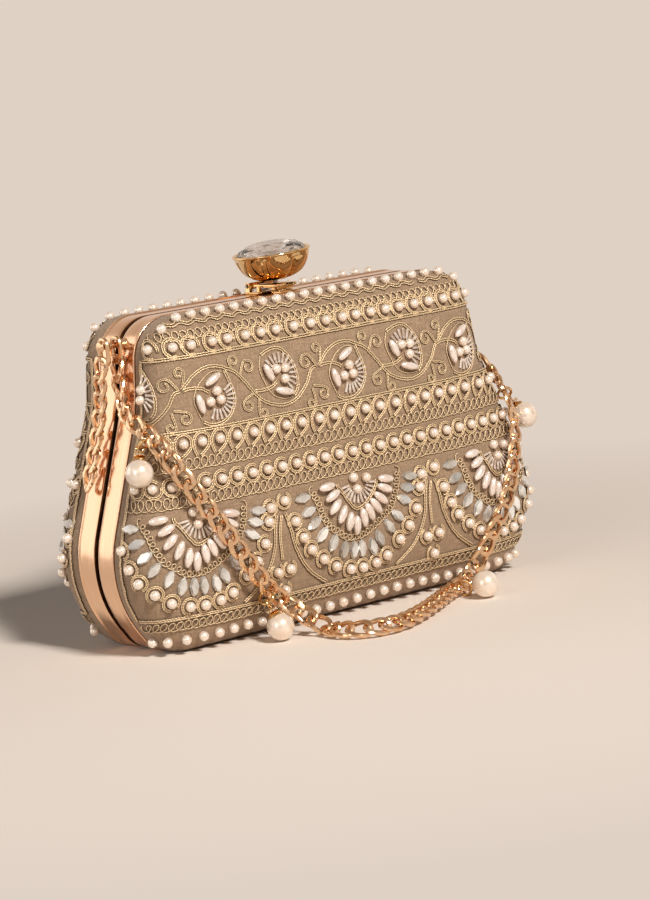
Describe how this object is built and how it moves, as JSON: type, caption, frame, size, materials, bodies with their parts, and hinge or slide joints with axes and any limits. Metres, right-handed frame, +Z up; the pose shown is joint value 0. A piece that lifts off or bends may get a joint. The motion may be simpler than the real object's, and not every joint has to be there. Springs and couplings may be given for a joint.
{
  "type": "clutch bag",
  "caption": "Hard-sided beaded clutch that opens on a hinge along its base, with a crystal knob clasp and a curb chain handle hung with pearl charms.",
  "frame": {"origin": "middle of the back band's underside, on which the bag stands", "axes": "+X along the bag, to the right seen from its front; -Y out of the front, where the chain lies; +Z up"},
  "size_m": [0.2112, 0.1246, 0.1534],
  "materials": {
    "raw_silk": "slubbed matt weave, beige",
    "moulded_board": "pressed fibreboard",
    "satin_lining": "satin",
    "rose_gold_plate": "polished light rose gold plate",
    "yellow_gold_plate": "polished yellow gold plate",
    "steel_wire": "drawn wire",
    "glass_pearl": "pearl coating",
    "cut_crystal": "faceted, clear"
  },
  "bodies": {
    "back_half": {"back_cover": "raw_silk", "back_shell": "moulded_board", "back_lining": "satin_lining", "back_frame": "rose_gold_plate", "hinge_pin": "steel_wire", "clasp_base": "yellow_gold_plate", "clasp_pin": "steel_wire", "clasp_spring": "steel_wire"},
    "front_half": {"front_cover": "raw_silk", "front_shell": "moulded_board", "front_lining": "satin_lining", "front_frame": "rose_gold_plate", "front_catch": "yellow_gold_plate", "left_chain_stud": "rose_gold_plate", "right_chain_stud": "rose_gold_plate"},
    "knob": {"knob_lever": "yellow_gold_plate", "knob_screw": "steel_wire", "knob_cup": "yellow_gold_plate", "knob_stone": "cut_crystal"},
    "handle": {"handle_chain_1": "rose_gold_plate", "handle_chain_2": "rose_gold_plate", "handle_chain_3": "rose_gold_plate", "handle_chain_4": "rose_gold_plate", "handle_chain_5": "rose_gold_plate", "handle_chain_6": "rose_gold_plate", "handle_chain_7": "rose_gold_plate", "handle_chain_8": "rose_gold_plate", "handle_chain_9": "rose_gold_plate"},
    "tail": {"chain_tail": "rose_gold_plate"},
    "charm_1": {"charm_1_ring": "yellow_gold_plate", "charm_1_cap": "yellow_gold_plate", "charm_1_rondelle": "cut_crystal", "charm_1_pearl": "glass_pearl"},
    "charm_2": {"charm_2_ring": "yellow_gold_plate", "charm_2_cap": "yellow_gold_plate", "charm_2_rondelle": "cut_crystal", "charm_2_pearl": "glass_pearl"},
    "charm_3": {"charm_3_ring": "yellow_gold_plate", "charm_3_cap": "yellow_gold_plate", "charm_3_rondelle": "cut_crystal", "charm_3_pearl": "glass_pearl"},
    "charm_4": {"charm_4_ring": "yellow_gold_plate", "charm_4_cap": "yellow_gold_plate", "charm_4_rondelle": "cut_crystal", "charm_4_pearl": "glass_pearl"}
  },
  "joints": [
    {"name": "lid_hinge", "type": "hinge", "parent": "back_half", "child": "front_half", "pos_m": [0, -0.00695, 0.0022], "axis": [1, 0, 0], "range_deg": [0, 55]},
    {"name": "knob_hinge", "type": "hinge", "parent": "back_half", "child": "knob", "pos_m": [0, 0.00285, 0.1354], "axis": [-1, 0, 0], "range_deg": [0, 18], "stiffness_Nm_per_rad": 0.02, "springref_deg": -17.19},
    {"name": "handle_swing", "type": "hinge", "parent": "front_half", "child": "handle", "pos_m": [0, -0.01055, 0.123], "axis": [-1, 0, 0], "range_deg": [0, 150]},
    {"name": "tail_swing", "type": "hinge", "parent": "front_half", "child": "tail", "pos_m": [0, -0.01055, 0.123], "axis": [1, 0, 0], "range_deg": [0, 60]},
    {"name": "charm_1_swing", "type": "hinge", "parent": "handle", "child": "charm_1", "pos_m": [-0.09064, -0.03394, 0.08624], "axis": [-0.2012, 0.7527, 0.6269], "range_deg": [0, 40]},
    {"name": "charm_2_swing", "type": "hinge", "parent": "handle", "child": "charm_2", "pos_m": [-0.05252, -0.0482, 0.01848], "axis": [-0.7085, -0.2799, 0.6479], "range_deg": [0, 18]},
    {"name": "charm_3_swing", "type": "hinge", "parent": "handle", "child": "charm_3", "pos_m": [0.04104, -0.05735, 0.00254], "axis": [-0.8673, -0.496, 0.0419], "range_deg": [0, 60]},
    {"name": "charm_4_swing", "type": "hinge", "parent": "handle", "child": "charm_4", "pos_m": [0.09474, -0.03234, 0.07585], "axis": [-0.2717, -0.7497, -0.6034], "range_deg": [0, 40]}
  ]
}
